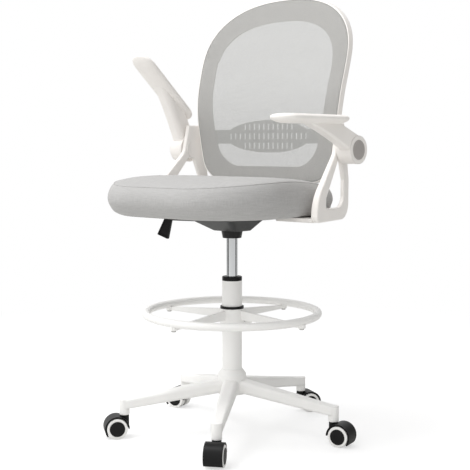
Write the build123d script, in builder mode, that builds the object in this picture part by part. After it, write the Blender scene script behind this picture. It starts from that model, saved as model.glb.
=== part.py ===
from build123d import *
import os
from math import copysign, cos, radians, sin

# Drafting chair on a five-arm base, in millimetres. +Z is up, the sitter faces -Y,
# and the origin is on the floor under the column's axis.

# Angles
quarter_turn = 90.0
half_turn = 180.0
full_turn = 360.0

# Clearances
running_gap = 0.05
face_gap = 0.5

# Edge rounding
edge_break = 1.0
soft_edge = 2.0

# Casters
wheel_radius = 25.0
wheel_width = 16.0
wheel_gap = 6.5
wheel_edge = 1.5
axle_radius = 4.0
cap_radius = 18.5
cap_depth = 3.0
cap_proud = 1.2
hood_wall = 3.0
hood_clearance = 2.0
hood_web = 12.0
hood_start = -38.0
hood_end = 180.0
caster_trail = 20.0
stem_radius = 5.5
stem_boss_radius = 11.0
stem_grip = 14.0
caster_turns = (12.0, 62.0, 192.0, 235.0, 302.0)

# Base star
arm_count = 5
base_turn = 16.74
tip_radius_from_axis = 267.0
tip_bottom = 56.0
tip_radius = 12.3
tip_top = 93.0
arm_root_top = 136.0
arm_root_height = 35.0
arm_root_width = 40.0
arm_tip_height = 23.0
arm_tip_width = 26.0
arm_root_round = 12.0
arm_tip_round = 4.0
hub_radius = 35.0
hub_top = 159.0
hub_shoulder = 147.0
hub_bottom = 98.0
hub_lip = 2.0
socket_depth = 31.0

# Gas column
tube_radius = 24.5
tube_wall = 2.0
tube_bottom = 98.0
tube_top = 379.0
collar_height = 10.0
guide_length = 70.0
cylinder_radius = 14.0
cylinder_bottom = 190.0
cylinder_top = 512.0
cylinder_bore = 6.5
cylinder_bore_depth = 240.0
rod_radius = 5.0
rod_top = 322.0
rod_foot = 6.0
release_pin_radius = 4.0
release_pin_length = 30.0
release_pin_proud = 8.0

# Foot ring
ring_radius = 211.4
ring_tube_radius = 9.5
ring_tube_wall = 1.5
ring_height = 299.0
ring_turn = 2.5
spoke_count = 4
spoke_width = 7.0
spoke_rise = 7.0
spoke_root_height = 23.0
spoke_tip_height = 9.0
spoke_overhang = 9.0
spoke_saddle = 3.0
spider_radius = 30.5
spider_drop = 41.0
spider_rise = 11.0
bush_wall = 2.5
bush_lip = 6.0
bush_step = 1.5
screw_head_radius = 5.5
screw_head_height = 4.0
screw_radius = 3.0
knob_turn = 45.0
knob_drop = 20.0
knob_radius = 8.0
knob_length = 17.0
stud_radius = 4.0

# Seat
seat_width = 474.0
seat_depth = 464.0
seat_corner = 160.0
seat_centre_y = -37.0
pan_bottom = 544.0
pan_thickness = 10.0
pan_inset = 24.0
cushion_bottom = 546.0
cushion_under_round = 15.0
cushion_crown = 628.0
cushion_front = 611.0
cushion_back = 602.0
cushion_round = 9.0
crown_y = -60.0
crown_overrun = 20.0

# Mechanism under the seat
flange_width = 188.0
flange_depth = 172.0
flange_corner = 16.0
plate_thickness = 6.0
housing_top_width = 155.0
housing_top_depth = 150.0
housing_bottom_width = 80.0
housing_bottom_depth = 64.0
mechanism_y = -23.0
housing_bottom = 502.0
housing_wall = 3.0
housing_corner = 14.0
socket_top_radius = 26.5
socket_lip_radius = 23.0
socket_bottom = 484.0
socket_sleeve_radius = 19.0
mechanism_bolt_x = 85.0
mechanism_bolt_y = 76.0
bolt_head_radius = 6.5
bolt_head_height = 4.0
bolt_radius = 4.0
lever_turn = 15.0
lever_drop = 13.5
lever_rod_radius = 4.0
lever_reach = 180.0
lever_finger = 9.0
lever_slot = 14.0
lever_pivot = 38.0
lever_pin_radius = 2.0
ear_length = 8.0
ear_thickness = 4.0
ear_gap = 2.0
paddle_length = 53.0
paddle_root = 19.0
paddle_tip = 33.0
paddle_thickness = 10.0
paddle_drop = 70.0
paddle_recess = 2.0
paddle_rim = 4.0

# Back
back_face_y = 131.5
back_wrap_radius = 1750.0
recline_radius = 400.0
recline_angle = 15.3
recline_start = 765.5
back_flare = 0.8
back_widest_z = 914.0
back_top = 1080.0
back_fullness = 2.35
back_taper = 37.5
back_bottom = 618.0
back_corner = 67.0
frame_thickness = 15.0
frame_rim = 16.0
frame_web = 3.5
mesh_thickness = 1.5
mesh_margin = 4.0
frame_side = 47.4
frame_low_side = 52.2
opening_widest_z = 894.0
opening_top = 1022.0
opening_fullness = 2.48
opening_bottom = 656.0
opening_corner = 78.0
lumbar_z = 732.0
lumbar_half_width = 138.0
lumbar_half_height = 41.0
lumbar_strap_height = 36.0
lumbar_strap_margin = 43.0
lumbar_thickness = 2.5
lumbar_slot_width = 5.0
lumbar_slot_height = 15.0
lumbar_slot_pitch = 15.5
lumbar_row_pitch = 24.0
lumbar_row_counts = (11, 17, 11)
bracket_width = 116.0
bracket_front_y = 92.0
bracket_gap = 5.0
bracket_bolt_x = 36.0
bracket_bolt_y = 120.0
bracket_bend = 10.0
boss_height = 30.0
back_sweep = 10.0
outline_steps = 16
back_screw_pitch = 76.0
back_screw_rise = 14.0
back_screw_depth = 24.0

# Arms
arm_pivot_y = 112.0
arm_pivot_z = 699.0
flip_at_rest = 41.5
pivot_radius = 33.0
arm_clearance = 18.5
knuckle_width = 40.5
link_setback = 1.5
pin_radius = 6.0
pin_grip = 18.0
pivot_cap_radius = 23.0
pivot_cap_depth = 4.0
pad_offset = 24.5
pad_centre_y = -50.0
pad_length = 241.0
pad_width = 74.0
pad_bottom = 762.0
pad_top = 779.0
pad_round = 7.0
pad_under_round = 4.0
pivot_cap_proud = 1.0
horn_front_y = -80.0
horn_mid_y = 5.0
horn_mid_z = 732.0
horn_inner_round = 15.0
horn_outer_round = 6.0
horn_back_y = 34.0
loop_front_offset = 24.2
loop_back_offset = 18.7
loop_front_thickness = 19.5
loop_back_thickness = 9.5
loop_bottom = 534.0
loop_round = 3.5
loop_boss_radius = 25.0
loop_stub_front_y = 94.0
loop_stub_back_y = 126.0
loop_top = 762.0
loop_knee_y = 80.0
loop_knee_z = 690.0
loop_shin_y = -18.0
loop_shin_z = 588.0
loop_shin_round = 90.0
loop_knee_round = 40.0
loop_front_y = -24.0
loop_back_y = 156.0
loop_low_z = 630.0
loop_corner = 40.0
loop_toe = 14.0
hole_top = 676.0
hole_top_front_y = 94.0
hole_top_back_y = 110.0
hole_back_y = 127.0
hole_back_z = 628.0
hole_front_y = 27.0
hole_front_z = 588.0
hole_bottom = 564.0
hole_round = 9.0
hole_heel = 30.0
foot_reach_in = 87.0
foot_reach_out = 25.0
foot_taper = 23.0
foot_front_y = -20.0
foot_back_y = 116.0
foot_bolt_inset = 22.0
foot_round = 12.0

# Places that follow from the sizes above
seat_side = seat_width / 2
seat_front = seat_centre_y - seat_depth / 2
seat_back = seat_centre_y + seat_depth / 2
flange_bottom = pan_bottom - plate_thickness
lever_height = flange_bottom - lever_drop
spider_bottom = ring_height - spider_drop
spider_top = ring_height + spider_rise
spoke_root_top = ring_height + spoke_rise
knob_height = ring_height - knob_drop
back_half_width = seat_side + back_flare
back_low_half_width = back_half_width - back_taper
opening_half_width = back_half_width - frame_side
opening_low_half_width = back_low_half_width - frame_low_side
lumbar_strap_reach = back_half_width - lumbar_strap_margin
knuckle_inner_x = seat_side + arm_clearance
knuckle_outer_x = knuckle_inner_x + knuckle_width
link_inner_x = knuckle_inner_x + link_setback
link_outer_x = knuckle_outer_x - link_setback
pad_centre_x = knuckle_inner_x + pad_offset
loop_front_x = knuckle_inner_x + loop_front_offset
loop_back_x = knuckle_inner_x - loop_back_offset
foot_inner_x = seat_side - foot_reach_in
foot_outer_x = seat_side + foot_reach_out
support_bolt_x = foot_inner_x + foot_bolt_inset

os.makedirs("parts", exist_ok=True)


def save(piece, name):
    piece.part.label = name
    export_step(piece.part, f"parts/{name}.step")


def turned_plane(x, y, angle):
    """Upright plane through (x, y): local x points along angle, local y points up."""
    along = Vector(cos(radians(angle)), sin(radians(angle)), 0)
    return Plane(origin=(x, y, 0), x_dir=along, z_dir=along.cross(Vector(0, 0, 1)))


# Base star: hub and five tapered arms with a turned-down tip for each caster
arm_angles = [base_turn + full_turn / arm_count * i for i in range(arm_count)]
tip_places = [
    (tip_radius_from_axis * cos(radians(a)), tip_radius_from_axis * sin(radians(a)))
    for a in arm_angles
]

with BuildPart() as base_star:
    with BuildSketch(Plane.XZ):
        with BuildLine():
            Polyline(
                (0, hub_bottom),
                (hub_radius, hub_bottom),
                (hub_radius, hub_shoulder),
                (tube_radius + hub_lip, hub_top),
                (0, hub_top),
                close=True,
            )
        make_face()
    revolve(axis=Axis.Z)
    for arm_angle, (tip_x, tip_y) in zip(arm_angles, tip_places):
        along = Vector(cos(radians(arm_angle)), sin(radians(arm_angle)), 0)
        across = Vector(0, 0, 1).cross(along)
        root = Plane(
            origin=along * tube_radius + Vector(0, 0, arm_root_top - arm_root_height / 2),
            x_dir=across,
            z_dir=along,
        )
        end = Plane(
            origin=along * tip_radius_from_axis + Vector(0, 0, tip_top - arm_tip_height / 2),
            x_dir=across,
            z_dir=along,
        )
        with BuildSketch(root):
            RectangleRounded(arm_root_width, arm_root_height, arm_root_round)
        with BuildSketch(end):
            RectangleRounded(arm_tip_width, arm_tip_height, arm_tip_round)
        loft()
        with BuildSketch(Plane.XY.offset(tip_bottom)):
            with Locations((tip_x, tip_y)):
                Circle(tip_radius)
        extrude(amount=tip_top - tip_bottom)
    fillet(base_star.edges().group_by(Axis.Z)[0], radius=edge_break)
    with BuildSketch(Plane.XY.offset(hub_bottom)):
        Circle(tube_radius)
    extrude(amount=hub_top - hub_bottom, mode=Mode.SUBTRACT)
    with BuildSketch(Plane.XY.offset(tip_bottom)):
        with Locations(*tip_places):
            Circle(stem_radius + running_gap)
    extrude(amount=socket_depth, mode=Mode.SUBTRACT)
save(base_star, "base_star")

# Column: tube, guide collar and the fixed rod of the gas spring
tube_bore = tube_radius - tube_wall

with BuildPart() as column_tube:
    with BuildSketch(Plane.XY.offset(tube_bottom)):
        Circle(tube_radius)
        Circle(tube_bore, mode=Mode.SUBTRACT)
    extrude(amount=tube_top - tube_bottom)
save(column_tube, "column_tube")

with BuildPart() as column_collar:
    with BuildSketch(Plane.XY.offset(tube_top)):
        Circle(tube_radius)
    extrude(amount=collar_height)
    fillet(column_collar.edges().group_by(Axis.Z)[-1], radius=soft_edge)
    with BuildSketch(Plane.XY.offset(tube_top)):
        Circle(tube_bore)
    extrude(amount=-guide_length)
    with BuildSketch(Plane.XY.offset(tube_top - guide_length)):
        Circle(cylinder_radius + running_gap)
    extrude(amount=guide_length + collar_height, mode=Mode.SUBTRACT)
save(column_collar, "column_collar")

with BuildPart() as gas_rod:
    with BuildSketch(Plane.XY.offset(tube_bottom)):
        Circle(tube_bore)
    extrude(amount=rod_foot)
    with BuildSketch(Plane.XY.offset(tube_bottom)):
        Circle(rod_radius)
    extrude(amount=rod_top - tube_bottom)
save(gas_rod, "gas_rod")

# Gas spring: chrome cylinder and the release pin in its top
with BuildPart() as gas_cylinder:
    with BuildSketch(Plane.XY.offset(cylinder_bottom)):
        Circle(cylinder_radius)
    extrude(amount=cylinder_top - cylinder_bottom)
    chamfer(gas_cylinder.edges().group_by(Axis.Z)[0], length=edge_break)
    with BuildSketch(Plane.XY.offset(cylinder_bottom)):
        Circle(cylinder_bore)
    extrude(amount=cylinder_bore_depth, mode=Mode.SUBTRACT)
    with BuildSketch(Plane.XY.offset(cylinder_top)):
        Circle(release_pin_radius + running_gap)
    extrude(amount=-release_pin_length, mode=Mode.SUBTRACT)
save(gas_cylinder, "gas_cylinder")

release_pin_top = cylinder_top + release_pin_proud

with BuildPart() as release_pin:
    with BuildSketch(Plane.XY.offset(release_pin_top)):
        Circle(release_pin_radius)
    extrude(amount=-release_pin_length)
    chamfer(release_pin.edges().group_by(Axis.Z)[-1], length=edge_break)
save(release_pin, "release_pin")

# Foot ring: tube, spider with four tapered spokes, bush, screws and clamp knob
spoke_angles = [ring_turn + full_turn / spoke_count * i for i in range(spoke_count)]
knob_plane = turned_plane(0, 0, knob_turn + quarter_turn)
spoke_tip = ring_radius + spoke_overhang
spoke_tip_bottom = ring_height - ring_tube_radius - spoke_tip_height + spoke_saddle
spoke_tip_top = spoke_tip_bottom + spoke_tip_height

with BuildPart() as foot_ring_tube:
    with BuildSketch(Plane.XZ):
        with Locations((ring_radius, ring_height)):
            Circle(ring_tube_radius)
            Circle(ring_tube_radius - ring_tube_wall, mode=Mode.SUBTRACT)
    revolve(axis=Axis.Z)
    with BuildSketch(Plane.XY.offset(spoke_tip_bottom)):
        with PolarLocations(ring_radius, spoke_count, start_angle=ring_turn):
            Circle(screw_radius)
    extrude(amount=ring_tube_radius, mode=Mode.SUBTRACT)
save(foot_ring_tube, "foot_ring_tube")

bush_radius = tube_radius + running_gap + bush_wall

with BuildPart() as foot_ring_bush:
    with BuildSketch(Plane.XY.offset(spider_bottom)):
        Circle(bush_radius)
    extrude(amount=spider_top - spider_bottom)
    with BuildSketch(Plane.XY.offset(spider_top)):
        Circle(spider_radius - bush_step)
    extrude(amount=bush_lip)
    fillet(foot_ring_bush.edges().group_by(Axis.Z)[-1], radius=edge_break)
    with BuildSketch(Plane.XY.offset(spider_bottom)):
        Circle(tube_radius + running_gap)
    extrude(amount=spider_top + bush_lip - spider_bottom, mode=Mode.SUBTRACT)
    with BuildSketch(knob_plane):
        with Locations((0, knob_height)):
            Circle(stud_radius + running_gap)
    extrude(amount=spider_radius, mode=Mode.SUBTRACT)
save(foot_ring_bush, "foot_ring_bush")

with BuildPart() as foot_ring_spider:
    with BuildSketch(Plane.XY.offset(spider_bottom)):
        Circle(spider_radius)
    extrude(amount=spider_top - spider_bottom)
    fillet(foot_ring_spider.edges().group_by(Axis.Z)[0], radius=soft_edge)
    for spoke_angle in spoke_angles:
        with BuildSketch(turned_plane(0, 0, spoke_angle)):
            with BuildLine():
                Polyline(
                    (bush_radius, spoke_root_top - spoke_root_height),
                    (bush_radius, spoke_root_top),
                    (ring_radius - spoke_overhang, spoke_tip_top),
                    (spoke_tip, spoke_tip_top),
                    (spoke_tip, spoke_tip_bottom),
                    (ring_radius - spoke_overhang, spoke_tip_bottom),
                    close=True,
                )
            make_face()
        extrude(amount=spoke_width / 2, both=True)
        with BuildSketch(Plane.XY.offset(spoke_tip_bottom)):
            with PolarLocations(ring_radius, 1, start_angle=spoke_angle):
                Circle(spoke_overhang)
        extrude(amount=spoke_tip_height)
    with BuildSketch(Plane.XZ):
        with Locations((ring_radius, ring_height)):
            Circle(ring_tube_radius)
    revolve(axis=Axis.Z, mode=Mode.SUBTRACT)
    with BuildSketch(Plane.XY.offset(spoke_tip_bottom)):
        with PolarLocations(ring_radius, spoke_count, start_angle=ring_turn):
            Circle(screw_radius)
    extrude(amount=spoke_tip_height, mode=Mode.SUBTRACT)
    with BuildSketch(Plane.XY.offset(spider_bottom)):
        Circle(bush_radius)
    extrude(amount=spider_top - spider_bottom, mode=Mode.SUBTRACT)
    with BuildSketch(knob_plane):
        with Locations((0, knob_height)):
            Circle(stud_radius + running_gap)
    extrude(amount=spider_radius, mode=Mode.SUBTRACT)
save(foot_ring_spider, "foot_ring_spider")

with BuildPart() as foot_ring_screws:
    with BuildSketch(Plane.XY.offset(spoke_tip_bottom)):
        with PolarLocations(ring_radius, spoke_count, start_angle=ring_turn):
            Circle(screw_head_radius)
    extrude(amount=-screw_head_height)
    fillet(foot_ring_screws.edges().group_by(Axis.Z)[0], radius=edge_break)
    with BuildSketch(Plane.XY.offset(spoke_tip_bottom)):
        with PolarLocations(ring_radius, spoke_count, start_angle=ring_turn):
            Circle(screw_radius)
    extrude(amount=ring_tube_radius)
save(foot_ring_screws, "foot_ring_screws")

with BuildPart() as clamp_stud:
    with BuildSketch(knob_plane.offset(tube_radius + face_gap)):
        with Locations((0, knob_height)):
            Circle(stud_radius)
    extrude(amount=spider_radius + face_gap + knob_length / 2 - tube_radius)
save(clamp_stud, "clamp_stud")

with BuildPart() as clamp_knob:
    with BuildSketch(knob_plane.offset(spider_radius + 2 * face_gap)):
        with Locations((0, knob_height)):
            Circle(knob_radius)
    extrude(amount=knob_length)
    fillet(clamp_knob.edges(), radius=soft_edge)
    with BuildSketch(knob_plane.offset(spider_radius + 2 * face_gap)):
        with Locations((0, knob_height)):
            Circle(stud_radius)
    extrude(amount=knob_length / 2, mode=Mode.SUBTRACT)
save(clamp_knob, "clamp_knob")


# Casters: hood with stem boss, steel stem, axle, twin wheels and hub caps
hood_inner = wheel_radius + hood_clearance
hood_outer = hood_inner + hood_wall
wheel_outer = wheel_gap + wheel_width


def make_caster(number, x, y, turn):
    """One caster whose wheels trail its swivel axis at (x, y) along turn."""
    side = turned_plane(x, y, turn)
    axle_place = (caster_trail, wheel_radius)
    open_angles = (hood_end, (hood_end + hood_start + full_turn) / 2, hood_start + full_turn)
    far = 3 * hood_outer
    open_corners = [
        (caster_trail + far * cos(radians(a)), wheel_radius + far * sin(radians(a)))
        for a in open_angles
    ]

    with BuildPart() as hood:
        with BuildSketch(side):
            with Locations(axle_place):
                Circle(hood_outer)
                Circle(hood_inner, mode=Mode.SUBTRACT)
            with BuildLine():
                Polyline(axle_place, *open_corners, close=True)
            make_face(mode=Mode.SUBTRACT)
        extrude(amount=wheel_outer - face_gap, both=True)
        with BuildSketch(Plane.XY.offset(wheel_radius)):
            with Locations((x, y)):
                Circle(stem_boss_radius)
        extrude(amount=tip_bottom - face_gap - wheel_radius)
        with BuildSketch(side):
            with Locations(axle_place):
                Circle(hood_inner)
        extrude(amount=wheel_outer + hood_wall, both=True, mode=Mode.SUBTRACT)
        with BuildSketch(side):
            with Locations(axle_place):
                Circle(hood_inner)
            with BuildLine():
                Polyline(axle_place, *open_corners, close=True)
            make_face(mode=Mode.SUBTRACT)
            with Locations(axle_place):
                Circle(2 * axle_radius)
            with Locations((0, wheel_radius + stem_boss_radius)):
                Rectangle(2 * (stem_radius + hood_wall), 2 * stem_boss_radius)
        extrude(amount=hood_web / 2, both=True)
        with BuildSketch(side):
            with Locations(axle_place):
                Circle(axle_radius + running_gap)
        extrude(amount=hood_web, both=True, mode=Mode.SUBTRACT)
        with BuildSketch(Plane.XY.offset(tip_bottom)):
            with Locations((x, y)):
                Circle(stem_radius)
        extrude(amount=-stem_grip, mode=Mode.SUBTRACT)
    save(hood, f"caster_{number}_hood")

    with BuildPart() as stem:
        with BuildSketch(Plane.XY.offset(tip_bottom - stem_grip)):
            with Locations((x, y)):
                Circle(stem_radius)
        extrude(amount=stem_grip + socket_depth - face_gap)
        chamfer(stem.edges().group_by(Axis.Z)[-1], length=edge_break)
    save(stem, f"caster_{number}_stem")

    with BuildPart() as axle:
        with BuildSketch(side):
            with Locations(axle_place):
                Circle(axle_radius)
        extrude(amount=wheel_outer - cap_depth, both=True)
    save(axle, f"caster_{number}_axle")

    with BuildPart() as wheels:
        with BuildSketch(side.offset(wheel_gap)):
            with Locations(axle_place):
                Circle(wheel_radius)
        extrude(amount=wheel_width)
        fillet(wheels.edges(), radius=wheel_edge)
        with BuildSketch(side.offset(wheel_gap)):
            with Locations(axle_place):
                Circle(axle_radius)
        extrude(amount=wheel_width, mode=Mode.SUBTRACT)
        with BuildSketch(side.offset(wheel_outer)):
            with Locations(axle_place):
                Circle(cap_radius)
        extrude(amount=-cap_depth, mode=Mode.SUBTRACT)
        mirror(about=side)
    save(wheels, f"caster_{number}_wheels")

    with BuildPart() as caps:
        with BuildSketch(side.offset(wheel_outer - cap_depth)):
            with Locations(axle_place):
                Circle(cap_radius)
        extrude(amount=cap_depth + cap_proud)
        fillet(caps.faces().sort_by(Axis((x, y, 0), side.z_dir))[-1].edges(), radius=cap_proud)
        mirror(about=side)
    save(caps, f"caster_{number}_caps")


for index, (caster_x, caster_y) in enumerate(tip_places):
    make_caster(index + 1, caster_x, caster_y, caster_turns[index])

# Mechanism: pressed housing on a flange under the seat, with the taper socket of the gas spring
lever_side = turned_plane(0, 0, half_turn + lever_turn)
lever_end = turned_plane(0, 0, half_turn + quarter_turn + lever_turn)
ear_height = lever_height + 3 * lever_pin_radius - housing_bottom - housing_wall
ear_face = lever_rod_radius + ear_gap
inner_corner = housing_corner - housing_wall

with BuildPart() as mechanism_housing:
    with BuildSketch(Plane.XY.offset(housing_bottom)):
        RectangleRounded(housing_bottom_width, housing_bottom_depth, housing_corner)
    with BuildSketch(Plane.XY.offset(flange_bottom)):
        with Locations((0, mechanism_y)):
            RectangleRounded(housing_top_width, housing_top_depth, housing_corner)
    loft()
    with BuildSketch(Plane.XY.offset(flange_bottom)):
        with Locations((0, mechanism_y)):
            RectangleRounded(flange_width, flange_depth, flange_corner)
    extrude(amount=plate_thickness)
    with BuildSketch(Plane.XY.offset(housing_bottom + housing_wall)):
        RectangleRounded(
            housing_bottom_width - 2 * housing_wall,
            housing_bottom_depth - 2 * housing_wall,
            inner_corner,
        )
    with BuildSketch(Plane.XY.offset(pan_bottom)):
        with Locations((0, mechanism_y)):
            RectangleRounded(
                housing_top_width - 2 * housing_wall,
                housing_top_depth - 2 * housing_wall,
                inner_corner,
            )
    loft(mode=Mode.SUBTRACT)
    with BuildSketch(Plane.XY.offset(housing_bottom)):
        Circle(socket_sleeve_radius)
    extrude(amount=housing_wall, mode=Mode.SUBTRACT)
    with BuildSketch(lever_end):
        with Locations((0, lever_height)):
            Rectangle(lever_slot, lever_slot)
    extrude(amount=housing_top_width, mode=Mode.SUBTRACT)
    for ear_plane in (lever_side.offset(ear_face), lever_side.offset(-ear_face - ear_thickness)):
        with BuildSketch(ear_plane):
            with Locations((lever_pivot, housing_bottom + housing_wall + ear_height / 2)):
                Rectangle(ear_length, ear_height)
        extrude(amount=ear_thickness)
    with BuildSketch(lever_side):
        with Locations((lever_pivot, lever_height)):
            Circle(lever_pin_radius)
    extrude(amount=ear_face + ear_thickness, both=True, mode=Mode.SUBTRACT)
    with BuildSketch(Plane.XY.offset(flange_bottom)):
        with Locations((0, mechanism_y)):
            with GridLocations(2 * mechanism_bolt_x, 2 * mechanism_bolt_y, 2, 2):
                Circle(bolt_radius)
    extrude(amount=plate_thickness, mode=Mode.SUBTRACT)
save(mechanism_housing, "mechanism_housing")

with BuildPart() as taper_socket:
    with BuildSketch(Plane.XZ):
        with BuildLine():
            Polyline(
                (cylinder_radius + running_gap, socket_bottom),
                (socket_lip_radius, socket_bottom),
                (socket_top_radius, housing_bottom),
                (socket_sleeve_radius, housing_bottom),
                (socket_sleeve_radius, cylinder_top - face_gap),
                (cylinder_radius + running_gap, cylinder_top - face_gap),
                close=True,
            )
        make_face()
    revolve(axis=Axis.Z)
save(taper_socket, "taper_socket")

# Height lever: a rod whose inner end presses the release pin, its pivot pin and a hanging paddle
with BuildPart() as lever_pin:
    with BuildSketch(lever_side):
        with Locations((lever_pivot, lever_height)):
            Circle(lever_pin_radius)
    extrude(amount=ear_face + ear_thickness, both=True)
save(lever_pin, "lever_pin")

with BuildPart() as lever_rod:
    with BuildSketch(lever_end.offset(-lever_finger)):
        with Locations((0, lever_height)):
            Circle(lever_rod_radius)
    extrude(amount=lever_finger + lever_reach)
    with BuildSketch(lever_side):
        with Locations((lever_pivot, lever_height)):
            Circle(lever_pin_radius + running_gap)
    extrude(amount=lever_rod_radius, both=True, mode=Mode.SUBTRACT)
save(lever_rod, "lever_rod")

paddle_down = Vector(cos(radians(paddle_drop)), -sin(radians(paddle_drop)))
paddle_across = Vector(sin(radians(paddle_drop)), cos(radians(paddle_drop)))
paddle_start = Vector(lever_reach, lever_height) - paddle_down * lever_rod_radius


def paddle_outline(inset):
    """Corners of the tapered paddle in the lever's upright plane, drawn in by inset."""
    top = paddle_start + paddle_down * inset
    bottom = paddle_start + paddle_down * (paddle_length - inset)
    half_top = paddle_across * (paddle_root / 2 - inset)
    half_bottom = paddle_across * (paddle_tip / 2 - inset)
    return [top - half_top, top + half_top, bottom + half_bottom, bottom - half_bottom]


with BuildPart() as lever_paddle:
    with BuildSketch(lever_side):
        with BuildLine():
            Polyline(*paddle_outline(0), close=True)
        make_face()
    extrude(amount=paddle_thickness / 2, both=True)
    fillet(lever_paddle.edges(), radius=soft_edge)
    with BuildSketch(lever_side.offset(-paddle_thickness / 2)):
        with BuildLine():
            Polyline(*paddle_outline(paddle_rim), close=True)
        make_face()
    extrude(amount=paddle_recess, mode=Mode.SUBTRACT)
    with BuildSketch(lever_end):
        with Locations((0, lever_height)):
            Circle(lever_rod_radius)
    extrude(amount=lever_reach, mode=Mode.SUBTRACT)
save(lever_paddle, "lever_paddle")

# Seat: pan, cushion and the bolts that hold mechanism, back bracket and arm supports to the pan
bolt_places = [
    (side * mechanism_bolt_x, mechanism_y + end * mechanism_bolt_y)
    for side in (-1, 1)
    for end in (-1, 1)
]
bolt_places += [(side * bracket_bolt_x, bracket_bolt_y) for side in (-1, 1)]
bolt_places += [
    (side * support_bolt_x, y)
    for side in (-1, 1)
    for y in (foot_front_y + foot_bolt_inset, foot_back_y - foot_bolt_inset)
]

with BuildPart() as seat_pan:
    with BuildSketch(Plane.XY.offset(pan_bottom)):
        with Locations((0, seat_centre_y)):
            RectangleRounded(
                seat_width - 2 * pan_inset, seat_depth - 2 * pan_inset, seat_corner - pan_inset
            )
        with Locations(*bolt_places):
            Circle(bolt_radius, mode=Mode.SUBTRACT)
    extrude(amount=pan_thickness)
save(seat_pan, "seat_pan")

with BuildPart() as seat_bolts:
    with BuildSketch(Plane.XY.offset(flange_bottom)):
        with Locations(*bolt_places):
            Circle(bolt_head_radius)
    extrude(amount=-bolt_head_height)
    fillet(seat_bolts.edges().group_by(Axis.Z)[0], radius=edge_break)
    with BuildSketch(Plane.XY.offset(flange_bottom)):
        with Locations(*bolt_places):
            Circle(bolt_radius)
    extrude(amount=plate_thickness + pan_thickness)
save(seat_bolts, "seat_bolts")


with BuildPart() as seat_cushion:
    with BuildSketch(Plane.XY.offset(cushion_bottom)):
        with Locations((0, seat_centre_y)):
            RectangleRounded(seat_width, seat_depth, seat_corner)
    extrude(amount=cushion_crown + crown_overrun - cushion_bottom)
    with BuildSketch(Plane.YZ):
        with BuildLine():
            crown = ThreePointArc(
                (seat_front - crown_overrun, cushion_front),
                (crown_y, cushion_crown),
                (seat_back + crown_overrun, cushion_back),
            )
            Polyline(
                crown @ 1,
                (seat_back + crown_overrun, cushion_bottom),
                (seat_front - crown_overrun, cushion_bottom),
                crown @ 0,
            )
        make_face()
    extrude(amount=seat_width, both=True, mode=Mode.INTERSECT)
    top_face = seat_cushion.faces().sort_by(Axis.Z)[-1]
    fillet(top_face.edges(), radius=cushion_round)
    fillet(seat_cushion.edges().group_by(Axis.Z)[0], radius=cushion_under_round)
    with BuildSketch(Plane.XY.offset(pan_bottom)):
        with Locations((0, seat_centre_y)):
            RectangleRounded(
                seat_width - 2 * pan_inset, seat_depth - 2 * pan_inset, seat_corner - pan_inset
            )
    extrude(amount=pan_thickness, mode=Mode.SUBTRACT)
save(seat_cushion, "seat_cushion")


# Back: frame, mesh and lumbar support share one doubly curved face
def back_slab(front, depth):
    """Curved slab that starts front behind the mesh face and is depth thick."""
    centre_y = back_face_y + recline_radius
    turn = radians(recline_angle)
    rise = back_top - recline_start
    wrap_axis = Axis((0, back_face_y - back_wrap_radius, 0), (0, 0, 1))
    with BuildPart() as slab:
        with BuildSketch(Plane.YZ):
            with BuildLine():
                ends = []
                for step in (front, front + depth):
                    reach = recline_radius - step
                    low = (back_face_y + step, back_bottom)
                    bend = (back_face_y + step, recline_start)
                    turn_end = Vector(centre_y - reach * cos(turn), recline_start + reach * sin(turn))
                    high = turn_end + Vector(sin(turn), cos(turn)) * rise
                    Line(low, bend)
                    TangentArc(bend, turn_end, tangent=(0, 1))
                    Line(turn_end, high)
                    ends.append((low, high))
                Line(ends[0][0], ends[1][0])
                Line(ends[0][1], ends[1][1])
            make_face()
        revolve(axis=wrap_axis, revolution_arc=back_sweep)
        mirror(about=Plane.YZ)
    return slab.part


def back_outline(half_width, widest_z, top_z, low_half_width, bottom_z, corner, fullness):
    """Outline seen from the front: a full round top, and sides that narrow downwards."""
    turns = [radians(half_turn * step / outline_steps) for step in range(outline_steps + 1)]
    crest = [
        (
            copysign(half_width * abs(cos(turn)) ** (2 / fullness), cos(turn)),
            widest_z + (top_z - widest_z) * sin(turn) ** (2 / fullness),
        )
        for turn in turns
    ]
    with BuildSketch(Plane.XZ) as outline:
        with BuildLine():
            Spline(*crest, tangents=[(0, 1), (0, -1)])
            for side in (-1, 1):
                TangentArc(
                    (side * half_width, widest_z), (side * low_half_width, bottom_z), tangent=(0, -1)
                )
            Line((-low_half_width, bottom_z), (low_half_width, bottom_z))
        make_face()
        fillet(outline.vertices().group_by(Axis.Y)[0], radius=corner)
    return outline.sketch


def inset_outline(inset):
    """The back's outline, drawn in by inset all round."""
    return back_outline(
        back_half_width - inset,
        back_widest_z,
        back_top - inset,
        back_low_half_width - inset,
        back_bottom + inset,
        back_corner - inset,
        back_fullness,
    )


opening_outline = back_outline(
    opening_half_width,
    opening_widest_z,
    opening_top,
    opening_low_half_width,
    opening_bottom,
    opening_corner,
    opening_fullness,
)
web_back = mesh_thickness + frame_web

with BuildPart() as back_mesh:
    add(back_slab(0, mesh_thickness))
    extrude(inset_outline(mesh_margin), amount=back_wrap_radius, both=True, mode=Mode.INTERSECT)
save(back_mesh, "back_mesh")

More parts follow.
